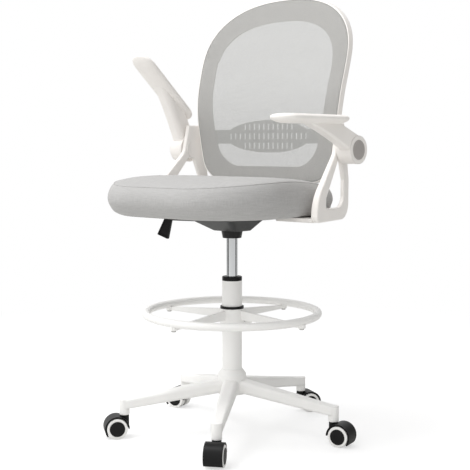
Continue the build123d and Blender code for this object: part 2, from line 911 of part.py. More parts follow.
with BuildPart() as lumbar_support:
    add(back_slab(web_back, lumbar_thickness))
    with BuildSketch(Plane.XZ) as lumbar_outline:
        with Locations((0, lumbar_z)):
            Ellipse(lumbar_half_width, lumbar_half_height)
            Rectangle(2 * lumbar_strap_reach, lumbar_strap_height)
        for row, count in zip((-1, 0, 1), lumbar_row_counts):
            with Locations((0, lumbar_z + row * lumbar_row_pitch)):
                with GridLocations(lumbar_slot_pitch, lumbar_row_pitch, count, 1):
                    Rectangle(lumbar_slot_width, lumbar_slot_height, mode=Mode.SUBTRACT)
    extrude(amount=back_wrap_radius, both=True, mode=Mode.INTERSECT)
save(lumbar_support, "lumbar_support")

bracket_front = seat_back + bracket_gap
bracket_back = bracket_front + plate_thickness
boss_middle_z = back_bottom + boss_height / 2

with BuildPart() as rim_hollow:
    add(back_slab(web_back, frame_thickness))
    extrude(inset_outline(frame_rim), amount=back_wrap_radius, both=True, mode=Mode.INTERSECT)

with BuildPart() as back_frame:
    add(back_slab(mesh_thickness, frame_thickness))
    extrude(inset_outline(0), amount=back_wrap_radius, both=True, mode=Mode.INTERSECT)
    add(rim_hollow.part, mode=Mode.SUBTRACT)
    extrude(opening_outline, amount=back_wrap_radius, both=True, mode=Mode.SUBTRACT)
    with BuildSketch(Plane.XZ.offset(-bracket_front)):
        with Locations((0, boss_middle_z)):
            RectangleRounded(bracket_width, boss_height, soft_edge)
    extrude(amount=bracket_front - back_face_y - mesh_thickness - frame_web / 2)
    with BuildSketch(Plane.XZ.offset(-bracket_front)):
        with Locations((0, boss_middle_z)):
            with GridLocations(back_screw_pitch, back_screw_rise, 2, 2):
                Circle(screw_radius)
    extrude(amount=back_screw_depth, mode=Mode.SUBTRACT)
save(back_frame, "back_frame")

bracket_top = back_bottom + boss_height
bracket_side = [
    (bracket_front_y, pan_bottom),
    (bracket_front, pan_bottom),
    (bracket_front, bracket_top),
    (bracket_back, bracket_top),
    (bracket_back, flange_bottom),
    (bracket_front_y, flange_bottom),
]

with BuildPart() as back_bracket:
    with BuildSketch(Plane.YZ) as bracket_sketch:
        with BuildLine():
            Polyline(*bracket_side, close=True)
        make_face()
        corners = bracket_sketch.vertices().group_by(Axis.X)
        fillet(corners[1].sort_by(Axis.Y)[0], radius=bracket_bend)
        fillet(
            bracket_sketch.vertices().group_by(Axis.X)[-1].sort_by(Axis.Y)[0],
            radius=bracket_bend + plate_thickness,
        )
    extrude(amount=bracket_width / 2, both=True)
    with BuildSketch(Plane.XZ.offset(-bracket_back)):
        with Locations((0, boss_middle_z)):
            with GridLocations(back_screw_pitch, back_screw_rise, 2, 2):
                Circle(screw_radius)
    extrude(amount=plate_thickness, mode=Mode.SUBTRACT)
    with BuildSketch(Plane.XY.offset(flange_bottom)):
        with Locations(*bolt_places):
            Circle(bolt_radius)
    extrude(amount=plate_thickness, mode=Mode.SUBTRACT)
save(back_bracket, "back_bracket")

with BuildPart() as back_screws:
    with BuildSketch(Plane.XZ.offset(-bracket_back)):
        with Locations((0, boss_middle_z)):
            with GridLocations(back_screw_pitch, back_screw_rise, 2, 2):
                Circle(screw_head_radius)
    extrude(amount=-screw_head_height)
    fillet(back_screws.edges().group_by(Axis.Y)[-1], radius=edge_break)
    with BuildSketch(Plane.XZ.offset(-bracket_back)):
        with Locations((0, boss_middle_z)):
            with GridLocations(back_screw_pitch, back_screw_rise, 2, 2):
                Circle(screw_radius)
    extrude(amount=plate_thickness + back_screw_depth)
save(back_screws, "back_screws")

# Arms: support loop under the seat, pivot pin, and the arm that flips up about the pin
pivot_plane = Plane(origin=(0, arm_pivot_y, arm_pivot_z), x_dir=(0, 1, 0), z_dir=(1, 0, 0))
flip_axis = Axis((0, arm_pivot_y, arm_pivot_z), (1, 0, 0))


with BuildPart() as arm_support_left:
    with BuildSketch(Plane.XY.offset(loop_bottom)):
        with BuildLine():
            Polyline(
                (loop_front_x, loop_front_y),
                (loop_back_x, loop_back_y),
                (loop_back_x - loop_back_thickness, loop_back_y),
                (loop_front_x - loop_front_thickness, loop_front_y),
                close=True,
            )
        make_face()
    extrude(amount=loop_top - loop_bottom)
    with BuildSketch(Plane.YZ) as loop_outline:
        with BuildLine():
            Polyline(
                (loop_stub_front_y, loop_top),
                (loop_stub_back_y, loop_top),
                (loop_back_y, loop_low_z),
                (loop_back_y, loop_bottom),
                (loop_front_y, loop_bottom),
                (loop_shin_y, loop_shin_z),
                (loop_knee_y, loop_knee_z),
                close=True,
            )
        make_face()
        for corner, radius in (
            ((loop_back_y, loop_bottom), loop_corner),
            ((loop_front_y, loop_bottom), loop_toe),
            ((loop_shin_y, loop_shin_z), loop_shin_round),
            ((loop_knee_y, loop_knee_z), loop_knee_round),
        ):
            fillet(loop_outline.vertices().sort_by_distance(corner)[0], radius=radius)
    extrude(amount=knuckle_outer_x, mode=Mode.INTERSECT)
    with BuildSketch(Plane.YZ) as loop_opening:
        with BuildLine():
            Polyline(
                (hole_top_front_y, hole_top),
                (hole_top_back_y, hole_top),
                (hole_back_y, hole_back_z),
                (hole_back_y, hole_bottom),
                (hole_front_y, hole_bottom),
                (hole_front_y, hole_front_z),
                close=True,
            )
        make_face()
        by_distance = loop_opening.vertices().sort_by_distance((hole_back_y, hole_bottom))
        fillet(by_distance[1:], radius=hole_round)
        heel = loop_opening.vertices().sort_by_distance((hole_back_y, hole_bottom))[0]
        fillet(heel, radius=hole_heel)
    extrude(amount=knuckle_outer_x, mode=Mode.SUBTRACT)
    broad_faces = arm_support_left.faces().sort_by(SortBy.AREA)[-2:]
    fillet(broad_faces.edges(), radius=loop_round)
    with BuildSketch(pivot_plane.offset(knuckle_inner_x - face_gap)):
        Circle(loop_boss_radius)
    extrude(amount=face_gap - pin_grip)
    with BuildSketch(Plane.XY.offset(loop_bottom)) as foot_outline:
        with BuildLine():
            Polyline(
                (foot_inner_x, foot_front_y),
                (foot_outer_x, foot_front_y),
                (foot_outer_x - foot_taper, foot_back_y),
                (foot_inner_x, foot_back_y),
                close=True,
            )
        make_face()
        fillet(foot_outline.vertices().group_by(Axis.X)[0], radius=foot_round)
    extrude(amount=pan_bottom - loop_bottom)
    with BuildSketch(Plane.XY.offset(loop_bottom)):
        with Locations(*bolt_places):
            Circle(bolt_head_radius + face_gap)
    extrude(amount=flange_bottom - loop_bottom, mode=Mode.SUBTRACT)
    with BuildSketch(Plane.XY.offset(flange_bottom)):
        with Locations(*bolt_places):
            Circle(bolt_radius)
    extrude(amount=plate_thickness, mode=Mode.SUBTRACT)
    with BuildSketch(pivot_plane.offset(knuckle_inner_x)):
        Circle(pin_radius)
    extrude(amount=-pin_grip, mode=Mode.SUBTRACT)
save(arm_support_left, "arm_support_left")

cap_seat_x = knuckle_outer_x - pivot_cap_depth

with BuildPart() as arm_pin_left:
    with BuildSketch(pivot_plane.offset(cap_seat_x - face_gap)):
        Circle(pin_radius)
    extrude(amount=knuckle_inner_x - pin_grip + 2 * face_gap - cap_seat_x)
save(arm_pin_left, "arm_pin_left")

with BuildPart() as arm_link_left:
    with BuildSketch(Plane.YZ.offset(link_inner_x)):
        with BuildLine():
            underside = ThreePointArc(
                (horn_front_y, pad_bottom),
                (horn_mid_y, horn_mid_z),
                (arm_pivot_y - pivot_radius, arm_pivot_z),
            )
            Polyline(
                underside @ 1,
                (arm_pivot_y, arm_pivot_z),
                (arm_pivot_y, arm_pivot_z + pivot_radius),
                (horn_back_y, pad_bottom),
                underside @ 0,
            )
        make_face()
    extrude(amount=link_outer_x - link_inner_x)
    horn_edges = arm_link_left.edges().filter_by(GeomType.CIRCLE)
    fillet(horn_edges.group_by(Axis.X)[0], radius=horn_inner_round)
    fillet(arm_link_left.edges().filter_by(GeomType.CIRCLE).group_by(Axis.X)[-1], radius=horn_outer_round)
    with BuildSketch(pivot_plane.offset(knuckle_inner_x)):
        Circle(pivot_radius)
    extrude(amount=knuckle_outer_x - knuckle_inner_x)
    with BuildSketch(pivot_plane.offset(cap_seat_x)):
        Circle(pivot_cap_radius)
    extrude(amount=pivot_cap_depth, mode=Mode.SUBTRACT)
    with BuildSketch(pivot_plane.offset(knuckle_inner_x)):
        Circle(pin_radius + running_gap)
    extrude(amount=cap_seat_x - knuckle_inner_x, mode=Mode.SUBTRACT)
save(arm_link_left, "arm_link_left")

with BuildPart() as arm_cap_left:
    with BuildSketch(pivot_plane.offset(cap_seat_x)):
        Circle(pivot_cap_radius)
    extrude(amount=pivot_cap_depth + pivot_cap_proud)
    fillet(arm_cap_left.edges().group_by(Axis.X)[-1], radius=edge_break)
save(arm_cap_left, "arm_cap_left")

with BuildPart() as arm_pad_left:
    with BuildSketch(Plane.XY.offset(pad_bottom)):
        with Locations((pad_centre_x, pad_centre_y)):
            SlotOverall(pad_length, pad_width, rotation=90)
    extrude(amount=pad_top - pad_bottom)
    fillet(arm_pad_left.edges().group_by(Axis.Z)[-1], radius=pad_round)
    fillet(arm_pad_left.edges().group_by(Axis.Z)[0], radius=pad_under_round)
save(arm_pad_left, "arm_pad_left")

# Right side: the same support, and the arm turned up by its flip angle
with BuildPart() as arm_support_right:
    mirror(arm_support_left.part, about=Plane.YZ)
save(arm_support_right, "arm_support_right")

with BuildPart() as arm_pin_right:
    mirror(arm_pin_left.part, about=Plane.YZ)
save(arm_pin_right, "arm_pin_right")


def flipped(piece):
    """Copy of a left arm piece on the right, turned up about the pivot pin."""
    return mirror(piece.part, about=Plane.YZ, mode=Mode.PRIVATE).rotate(flip_axis, -flip_at_rest)


with BuildPart() as arm_link_right:
    add(flipped(arm_link_left))
save(arm_link_right, "arm_link_right")

with BuildPart() as arm_cap_right:
    add(flipped(arm_cap_left))
save(arm_cap_right, "arm_cap_right")

with BuildPart() as arm_pad_right:
    add(flipped(arm_pad_left))
save(arm_pad_right, "arm_pad_right")
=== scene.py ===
from math import atan2, copysign, cos, pi, radians, sin, sqrt, tan

import bpy
from bpy.props import FloatProperty, FloatVectorProperty, PointerProperty
from mathutils import Matrix, Vector
from mathutils.bvhtree import BVHTree


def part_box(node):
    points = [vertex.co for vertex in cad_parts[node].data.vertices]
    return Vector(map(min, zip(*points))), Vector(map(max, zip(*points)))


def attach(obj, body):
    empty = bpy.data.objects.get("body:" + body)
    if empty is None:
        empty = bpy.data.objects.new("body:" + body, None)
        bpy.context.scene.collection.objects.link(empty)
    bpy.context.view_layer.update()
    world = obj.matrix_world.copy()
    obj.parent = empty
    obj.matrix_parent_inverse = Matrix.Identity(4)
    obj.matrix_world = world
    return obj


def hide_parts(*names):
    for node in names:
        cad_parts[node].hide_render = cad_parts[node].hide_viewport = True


bl_info = {
    "name": "Drafting chair",
    "version": (1, 0, 0),
    "blender": (4, 5, 0),
    "location": "View3D > Sidebar > Chair",
    "description": "Dresses the drafting chair: cushion, mesh back, arm pads, finishes and studio",
    "category": "Object",
}

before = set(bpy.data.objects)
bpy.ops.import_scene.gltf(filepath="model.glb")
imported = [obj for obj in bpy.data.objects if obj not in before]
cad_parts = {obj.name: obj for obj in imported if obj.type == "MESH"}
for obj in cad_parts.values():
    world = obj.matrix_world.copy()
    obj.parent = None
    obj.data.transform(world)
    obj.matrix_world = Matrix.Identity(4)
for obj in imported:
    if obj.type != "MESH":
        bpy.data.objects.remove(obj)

# Seat in metres: its box, its corners seen from above and three points (y, z) on the crown of its top
SEAT_LOW, SEAT_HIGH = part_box("seat_cushion")
SEAT_HALF = (SEAT_HIGH - SEAT_LOW) / 2
SEAT_MIDDLE = (SEAT_HIGH + SEAT_LOW) / 2
SEAT_BOTTOM = SEAT_LOW.z
SEAT_CORNER = 0.160
CROWN_OVERHANG = 0.020
CROWN = (
    (SEAT_LOW.y - CROWN_OVERHANG, 0.611),
    (-0.060, 0.628),
    (SEAT_HIGH.y + CROWN_OVERHANG, 0.602),
)

# Back in metres: the box of its mesh, its outline from the front, its wrap round the sitter and its lean
BACK_LOW, BACK_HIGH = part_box("back_mesh")
BACK_MIDDLE = Vector((0.0, 0.850))
BACK_WIDEST = 0.914
BACK_FULLNESS = 2.35
BACK_LOW_HALF = 0.1963
BACK_CORNER = 0.063
BACK_FACE = 0.1315
WRAP = 1.750
RECLINE_START = 0.7655
RECLINE = 0.400
RECLINE_ANGLE = radians(15.3)

# Arms in metres: the box of the lowered pad, the pivot (y, z) and the turn of the raised arm
PAD_LOW, PAD_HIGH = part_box("arm_pad_left")
PAD_HALF = (PAD_HIGH - PAD_LOW) / 2
PAD_MIDDLE = (PAD_HIGH + PAD_LOW) / 2
ARM_PIVOT = (0.112, 0.699)
RIGHT_FLIP = radians(-41.5)

CASTERS = range(1, 6)

# Camera and softbox in metres
CAMERA_PLACE = (1.6822, -1.8575, 0.711)
CAMERA_TURN = radians(42)
CAMERA_TILT = radians(5.03)
SOFTBOX_PLACE = (-1.0, -1.55, 3.85)
SOFTBOX_AIM = Vector((0, 0, 0.6))
SOFTBOX_SIZE = 2.2

# A pattern's scale is the millimetres in a metre over the pattern's size in millimetres.
PER_METRE = 1000.0
WHITE = (1, 1, 1, 1)


def linear(code):
    """Linear colour of an sRGB hex value."""
    parts = [int(code[i:i + 2], 16) / 255 for i in (1, 3, 5)]
    return tuple(c / 12.92 if c <= 0.04045 else ((c + 0.055) / 1.055) ** 2.4 for c in parts)


def shade(colour, share=1.0):
    """Opaque colour, made darker or lighter by a share."""
    return (*[min(1.0, c * share) for c in colour], 1)


class ChairFinish(bpy.types.PropertyGroup):
    """Colours of the chair's finishes"""

    white: FloatVectorProperty(
        name="White parts", description="Colour of the white nylon and coated steel",
        default=linear("#f7f6f4"), size=3, subtype="COLOR", min=0, max=1)
    warm: FloatVectorProperty(
        name="Arms and back frame", description="Colour of the warmer white of the arms and the back frame",
        default=linear("#f5f1ed"), size=3, subtype="COLOR", min=0, max=1)
    black: FloatVectorProperty(
        name="Black parts", description="Colour of the black mouldings and coated steel",
        default=linear("#0b0b0c"), size=3, subtype="COLOR", min=0, max=1)
    cap: FloatVectorProperty(
        name="Pivot caps", description="Colour of the discs over the arm pivots",
        default=linear("#aca7a4"), size=3, subtype="COLOR", min=0, max=1)
    fabric: FloatVectorProperty(
        name="Seat fabric", description="Mean colour of the seat's woven cover",
        default=linear("#b2b1b0"), size=3, subtype="COLOR", min=0, max=1)
    mesh: FloatVectorProperty(
        name="Back mesh", description="Colour of the knitted back's yarn",
        default=linear("#ababa9"), size=3, subtype="COLOR", min=0, max=1)


class ChairSoft(bpy.types.PropertyGroup):
    """Sizes of the cushion and the arm pads"""

    swell: FloatProperty(
        name="Cushion swell", description="Farthest that the cover may rise while it is blown up",
        default=0.006, min=0, max=0.02, unit="LENGTH")
    voxel: FloatProperty(
        name="Cushion voxel", description="Mesh size of the cover before it is blown up",
        default=0.005, min=0.003, max=0.01, unit="LENGTH")
    welt: FloatProperty(
        name="Welt radius", description="Radius of the piping in the seat's top seam",
        default=0.0012, min=0.0005, max=0.004, unit="LENGTH")
    pad_crown: FloatProperty(
        name="Arm pad crown", description="Rise of the arm pad from its rim to its middle",
        default=0.0022, min=0, max=0.006, unit="LENGTH")


class ChairStudio(bpy.types.PropertyGroup):
    """Light and lens of the studio"""

    sky: FloatProperty(
        name="Ambient light", description="Strength of the soft white light from all round",
        default=0.86, min=0, max=2)
    key: FloatProperty(
        name="Key light", description="Power of the large overhead light",
        default=78.0, min=0, max=1000, unit="POWER")
    lens: FloatProperty(
        name="Lens", description="Focal length of the camera",
        default=78.59, min=10, max=300, unit="CAMERA")


# Helpers for meshes and shaders


def fill(tree, node, values):
    """Fills a node's inputs with numbers or sockets."""
    for key, value in values.items():
        if isinstance(value, bpy.types.NodeSocket):
            tree.links.new(value, node.inputs[key])
        else:
            node.inputs[key].default_value = value


def add(tree, kind, values=None, **settings):
    """Adds a node, sets its properties and fills its inputs."""
    made = tree.nodes.new(kind)
    for key, value in settings.items():
        setattr(made, key, value)
    fill(tree, made, values or {})
    return made


def start_material(name):
    """New material with its shader node and the object coordinates in metres."""
    made = bpy.data.materials.new(name)
    made.use_nodes = True
    tree = made.node_tree
    place = add(tree, "ShaderNodeTexCoord").outputs["Object"]
    return made, tree, tree.nodes["Principled BSDF"], place


def dress(material, *names):
    """Gives CAD nodes a material."""
    for name in names:
        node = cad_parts[name]
        if not node.material_slots:
            node.data.materials.append(material)
        for slot in node.material_slots:
            slot.material = material


def put_in_scene(name, data):
    """New object with its data, linked into the scene."""
    made = bpy.data.objects.new(name, data)
    bpy.context.scene.collection.objects.link(made)
    return made


def finish_piece(made, material, body):
    """Smooth shading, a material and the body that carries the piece."""
    made.data.shade_smooth()
    made.data.materials.clear()
    made.data.materials.append(material)
    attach(made, body)


def new_piece(name, points, faces, material, body):
    """Smooth mesh piece in the shared frame that rides on a body."""
    data = bpy.data.meshes.new(name)
    data.from_pydata(points, [], faces)
    data.update()
    made = put_in_scene(name, data)
    finish_piece(made, material, body)
    return made


def tube_piece(name, path, radius, material, body):
    """Closed round cord of trim along a path."""
    data = bpy.data.curves.new(name, "CURVE")
    data.dimensions = "3D"
    data.bevel_depth = radius
    data.bevel_resolution = 3
    line = data.splines.new("POLY")
    line.points.add(len(path) - 1)
    for point, place in zip(line.points, path):
        point.co = (*place, 1)
    line.use_cyclic_u = True
    guide = put_in_scene(name + "_path", data)
    skin = bpy.data.meshes.new_from_object(guide.evaluated_get(bpy.context.evaluated_depsgraph_get()))
    bpy.data.objects.remove(guide)
    made = put_in_scene(name, skin)
    finish_piece(made, material, body)
    return made


def flat_card(name, corners, material):
    """Stage piece of one flat face."""
    data = bpy.data.meshes.new(name)
    data.from_pydata(corners, [], [(0, 1, 2, 3)])
    data.materials.append(material)
    return put_in_scene(name, data)


def bridge(rings, close_start=True, close_end=True):
    """Points and faces of a skin over rings of equal length."""
    count = len(rings[0])
    points = [p for ring in rings for p in ring]
    faces = []
    for r in range(len(rings) - 1):
        for i in range(count):
            j = (i + 1) % count
            faces.append((r * count + i, r * count + j, (r + 1) * count + j, (r + 1) * count + i))
    if close_start:
        faces.append(tuple(reversed(range(count))))
    if close_end:
        last = (len(rings) - 1) * count
        faces.append(tuple(range(last, last + count)))
    return points, faces


def round_off(piece):
    """One step of subdivision that rounds a piece's facets."""
    smooth = piece.modifiers.new("round", "SUBSURF")
    smooth.levels = smooth.render_levels = 1


# Finishes


def moulded_plastic(name, colour, roughness, grain, soft=0.0008, shine=0.5):
    """Injection-moulded plastic: an even colour, a soft gloss and a fine spark-eroded grain, given in mm."""
    made, tree, shader, place = start_material(name)
    # Flow marks about 45 mm across vary the colour and the gloss a little.
    cloud = add(tree, "ShaderNodeTexNoise", {"Vector": place, "Scale": PER_METRE / 45.5, "Detail": 3.0})
    fine = add(tree, "ShaderNodeTexNoise", {"Vector": place, "Scale": PER_METRE / grain, "Detail": 2.0})
    tint = add(tree, "ShaderNodeMix", {
        "Factor": cloud.outputs["Fac"], "A": shade(colour, 0.96), "B": shade(colour, 1.03)}, data_type="RGBA")
    gloss = add(tree, "ShaderNodeMapRange", {
        "Value": cloud.outputs["Fac"], "To Min": roughness - 0.05, "To Max": roughness + 0.05})
    edge = add(tree, "ShaderNodeBevel", {"Radius": soft}, samples=4)
    relief = add(tree, "ShaderNodeBump", {
        "Height": fine.outputs["Fac"], "Strength": 0.12, "Distance": 0.0001,
        "Normal": edge.outputs["Normal"]})
    fill(tree, shader, {
        "Base Color": tint.outputs["Result"], "Roughness": gloss.outputs["Result"],
        "Normal": relief.outputs["Normal"], "IOR": 1.5, "Specular IOR Level": shine})
    return made


def powder_coat(name, colour, roughness, shine=0.5):
    """Powder-coated steel: a thick even skin with a slight orange-peel ripple about 2 mm across."""
    made, tree, shader, place = start_material(name)
    peel = add(tree, "ShaderNodeTexNoise", {"Vector": place, "Scale": PER_METRE / 2.0, "Detail": 1.0})
    # The coat's thickness varies its colour a little in patches about 55 mm across.
    cloud = add(tree, "ShaderNodeTexNoise", {"Vector": place, "Scale": PER_METRE / 55.5, "Detail": 2.0})
    tint = add(tree, "ShaderNodeMix", {
        "Factor": cloud.outputs["Fac"], "A": shade(colour, 0.97), "B": shade(colour, 1.02)}, data_type="RGBA")
    edge = add(tree, "ShaderNodeBevel", {"Radius": 0.0008}, samples=4)
    relief = add(tree, "ShaderNodeBump", {
        "Height": peel.outputs["Fac"], "Strength": 0.2, "Distance": 0.0002, "Normal": edge.outputs["Normal"]})
    fill(tree, shader, {
        "Base Color": tint.outputs["Result"], "Roughness": roughness,
        "Normal": relief.outputs["Normal"], "IOR": 1.52, "Specular IOR Level": shine})
    return made


def chrome_plate():
    """Chromium plate on polished steel: a mirror with faint lengthwise polishing marks."""
    made, tree, shader, place = start_material("chromium_plated_polished_steel")
    # The marks are 0.8 mm wide and 83 mm long.
    scale = [PER_METRE / size for size in (0.8, 0.8, 83.0)]
    long = add(tree, "ShaderNodeMapping", {"Vector": place, "Scale": scale})
    marks = add(tree, "ShaderNodeTexNoise", {"Vector": long.outputs["Vector"], "Scale": 1.0})
    gloss = add(tree, "ShaderNodeMapRange", {
        "Value": marks.outputs["Fac"], "To Min": 0.05, "To Max": 0.14})
    fill(tree, shader, {
        "Base Color": shade(linear("#dfe1e4")), "Roughness": gloss.outputs["Result"], "Metallic": 1.0})
    return made


def zinc_plate():
    """Zinc-plated steel: a dull grey metal with spangles about 1.5 mm across."""
    made, tree, shader, place = start_material("zinc_plated_turned_steel")
    flakes = add(tree, "ShaderNodeTexVoronoi", {"Vector": place, "Scale": PER_METRE / 1.5})
    gloss = add(tree, "ShaderNodeMapRange", {
        "Value": flakes.outputs["Color"], "To Min": 0.3, "To Max": 0.45})
    fill(tree, shader, {
        "Base Color": shade(linear("#c3c2c0")), "Roughness": gloss.outputs["Result"], "Metallic": 1.0})
    return made


def birch_ply():
    """Moulded birch plywood, painted dark as shade so that its edge under the cushion shows as a shadow line:
    long grain 3 mm apart shows faintly under a thin lacquer.
    """
    made, tree, shader, place = start_material("birch_plywood_dark_painted_shade")
    # The grain lines are 3 mm wide and 71 mm long, in veneers 1.4 mm thick.
    scale = [PER_METRE / size for size in (3.0, 71.0, 1.4)]
    long = add(tree, "ShaderNodeMapping", {"Vector": place, "Scale": scale})
    grain = add(tree, "ShaderNodeTexNoise", {"Vector": long.outputs["Vector"], "Scale": 1.0, "Detail": 4.0})
    # The dark tones are painted shade: only the pan's edge shows, as the shadow line under the cushion. The
    # grain is the wood's own.
    tint = add(tree, "ShaderNodeMix", {
        "Factor": grain.outputs["Fac"],
        "A": shade(linear("#3a3835")), "B": shade(linear("#575450"))}, data_type="RGBA")
    relief = add(tree, "ShaderNodeBump", {
        "Height": grain.outputs["Fac"], "Strength": 0.2, "Distance": 0.0002})
    fill(tree, shader, {
        "Base Color": tint.outputs["Result"], "Roughness": 0.5, "Normal": relief.outputs["Normal"]})
    return made


def woven_cover(colour):
    """Melange polyester weave: grey threads of mixed shade with slubs, matt with a soft sheen."""
    made, tree, shader, place = start_material("polyester_melange_plain_weave")
    normal = add(tree, "ShaderNodeNewGeometry").outputs["Normal"]
    facing = add(tree, "ShaderNodeSeparateXYZ", {"Vector": normal})
    top = add(tree, "ShaderNodeMapRange", {"Value": facing.outputs["Z"], "From Min": 0.5, "From Max": 0.8})
    # Slubs are crossing lengths of thread of another shade, in mm, drawn coarse enough to show.
    long, thick = 25.0, 1.2
    on_sides = ((thick, thick, long), (long, long, thick))
    on_top = ((thick, long, long), (long, thick, long))
    crossings = []
    for sizes in (on_sides, on_top):
        slubs = []
        for size in sizes:
            scale = [PER_METRE / s for s in size]
            stretch = add(tree, "ShaderNodeMapping", {"Vector": place, "Scale": scale})
            slubs.append(add(tree, "ShaderNodeTexNoise", {
                "Vector": stretch.outputs["Vector"], "Scale": 1.0, "Detail": 2.0}).outputs["Fac"])
        crossings.append(add(tree, "ShaderNodeMath", {0: slubs[0], 1: slubs[1]}, operation="ADD").outputs[0])
    mixed = add(tree, "ShaderNodeMix", {
        "Factor": top.outputs["Result"], "A": crossings[0], "B": crossings[1]})
    strength = add(tree, "ShaderNodeMapRange", {
        "Value": mixed.outputs["Result"], "From Min": 0.7, "From Max": 1.3})
    tint = add(tree, "ShaderNodeMix", {
        "Factor": strength.outputs["Result"],
        "A": shade(colour, 0.89), "B": shade(colour, 1.09)}, data_type="RGBA")
    relief = add(tree, "ShaderNodeBump", {
        "Height": mixed.outputs["Result"], "Strength": 0.35, "Distance": 0.0010})
    fill(tree, shader, {
        "Base Color": tint.outputs["Result"], "Roughness": 0.9, "Normal": relief.outputs["Normal"],
        "Sheen Weight": 0.12, "Sheen Roughness": 0.4, "Specular IOR Level": 0.3})
    return made


def knitted_mesh(colour):
    """Warp-knit polyester mesh: springy grey yarn round small open holes."""
    made, tree, shader, place = start_material("polyester_warp_knit_mesh")
    axes = add(tree, "ShaderNodeSeparateXYZ", {"Vector": place})
    # Holes lie 2.6 mm apart across the back and 2.2 mm apart up it.
    rows = []
    for axis, pitch in (("X", 2.6), ("Z", 2.2)):
        rows.append(add(tree, "ShaderNodeMath", {
            0: axes.outputs[axis], 1: pi * PER_METRE / pitch}, operation="MULTIPLY").outputs[0])
    waves = []
    for way in ("ADD", "SUBTRACT"):
        slant = add(tree, "ShaderNodeMath", {0: rows[0], 1: rows[1]}, operation=way)
        waves.append(add(tree, "ShaderNodeMath", {0: slant.outputs[0]}, operation="SINE").outputs[0])
    net = add(tree, "ShaderNodeMath", {0: waves[0], 1: waves[1]}, operation="MULTIPLY").outputs[0]
    yarn = add(tree, "ShaderNodeMapRange", {
        "Value": net, "From Min": 0.20, "From Max": 0.34, "To Min": 1.0, "To Max": 0.0})
    # The yarn's shade varies in patches about 17 mm across.
    cloud = add(tree, "ShaderNodeTexNoise", {"Vector": place, "Scale": PER_METRE / 16.7, "Detail": 3.0})
    tint = add(tree, "ShaderNodeMix", {
        "Factor": cloud.outputs["Fac"], "A": shade(colour, 0.92), "B": shade(colour, 1.06)}, data_type="RGBA")
    relief = add(tree, "ShaderNodeBump", {"Height": net, "Strength": 0.4, "Distance": 0.0004}, invert=True)
    fill(tree, shader, {
        "Base Color": tint.outputs["Result"], "Roughness": 0.75, "Normal": relief.outputs["Normal"],
        "Alpha": yarn.outputs["Result"], "Sheen Weight": 0.1, "Specular IOR Level": 0.3})
    return made


# Outlines, the same as the solids'


def circle_through(first, second, third):
    """Centre and radius of the circle through three points."""
    across_2, up_2 = second[0] - first[0], second[1] - first[1]
    across_3, up_3 = third[0] - first[0], third[1] - first[1]
    half_2 = (across_2 ** 2 + up_2 ** 2) / 2
    half_3 = (across_3 ** 2 + up_3 ** 2) / 2
    area = across_2 * up_3 - up_2 * across_3
    across = (half_2 * up_3 - half_3 * up_2) / area
    up = (across_2 * half_3 - across_3 * half_2) / area
    return (first[0] + across, first[1] + up), sqrt(across ** 2 + up ** 2)


def crown_height(y):
    """Height of the seat's crowned top at y."""
    (middle_y, middle_z), radius = circle_through(*CROWN)
    return middle_z + sqrt(radius ** 2 - (y - middle_y) ** 2)


def seat_outline(inset, corner_steps=16, side_steps=10, least_corner=0.25):
    """Rounded rectangle of the seat seen from above, drawn in from its edge."""
    half_x, half_y = SEAT_HALF.x - inset, SEAT_HALF.y - inset
    corner = max(SEAT_CORNER - inset, least_corner * half_y)
    ends = []
    for k, (sx, sy) in enumerate(((1, 1), (-1, 1), (-1, -1), (1, -1))):
        middle = Vector((sx * (half_x - corner), sy * (half_y - corner)))
        ends.append([
            middle + corner * Vector((cos(a), sin(a)))
            for a in [radians(90 * (k + i / corner_steps)) for i in range(corner_steps + 1)]
        ])
    points = []
    for k, arc in enumerate(ends):
        points += arc
        start, end = arc[-1], ends[(k + 1) % 4][0]
        points += [start.lerp(end, i / side_steps) for i in range(1, side_steps)]
    return [(p.x, p.y + SEAT_MIDDLE.y) for p in points]


def back_depth(x, z, behind=0.0):
    """Depth of the back's face at x, z, where it wraps round the sitter and leans above the bend."""
    bend_end = RECLINE_START + RECLINE * sin(RECLINE_ANGLE)
    if z <= RECLINE_START:
        lean = 0.0
    elif z <= bend_end:
        lean = RECLINE - sqrt(RECLINE ** 2 - (z - RECLINE_START) ** 2)
    else:
        lean = RECLINE * (1 - cos(RECLINE_ANGLE)) + (z - bend_end) * tan(RECLINE_ANGLE)
    return BACK_FACE - WRAP + sqrt((WRAP + lean + behind) ** 2 - x ** 2)


def back_outline(top_steps=60, side_steps=24, corner_steps=12):
    """Edge of the back mesh seen from the front: full top, bowed sides, round lower corners."""
    half, bottom, power = BACK_HIGH.x, BACK_LOW.z, 2 / BACK_FULLNESS
    rise = BACK_HIGH.z - BACK_WIDEST
    top = []
    for angle in [pi * i / top_steps for i in range(top_steps + 1)]:
        across = copysign(abs(cos(angle)) ** power, cos(angle))
        top.append((half * across, BACK_WIDEST + rise * abs(sin(angle)) ** power))
    bow = ((half - BACK_LOW_HALF) ** 2 + (BACK_WIDEST - bottom) ** 2) / (2 * (half - BACK_LOW_HALF))
    corner_z = bottom + BACK_CORNER
    reach = sqrt((bow - BACK_CORNER) ** 2 - (BACK_WIDEST - corner_z) ** 2)
    corner_x = half - bow + reach
    meet = atan2(corner_z - BACK_WIDEST, reach)
    down = []
    for angle in [meet * i / side_steps for i in range(1, side_steps)]:
        down.append((half - bow + bow * cos(angle), BACK_WIDEST + bow * sin(angle)))
    for angle in [meet + (radians(-90) - meet) * i / corner_steps for i in range(corner_steps + 1)]:
        down.append((corner_x + BACK_CORNER * cos(angle), corner_z + BACK_CORNER * sin(angle)))
    floor = [(-corner_x * (1 - 2 * i / side_steps), bottom) for i in range(1, side_steps)]
    return top + [(-x, z) for x, z in down] + floor + list(reversed(down))


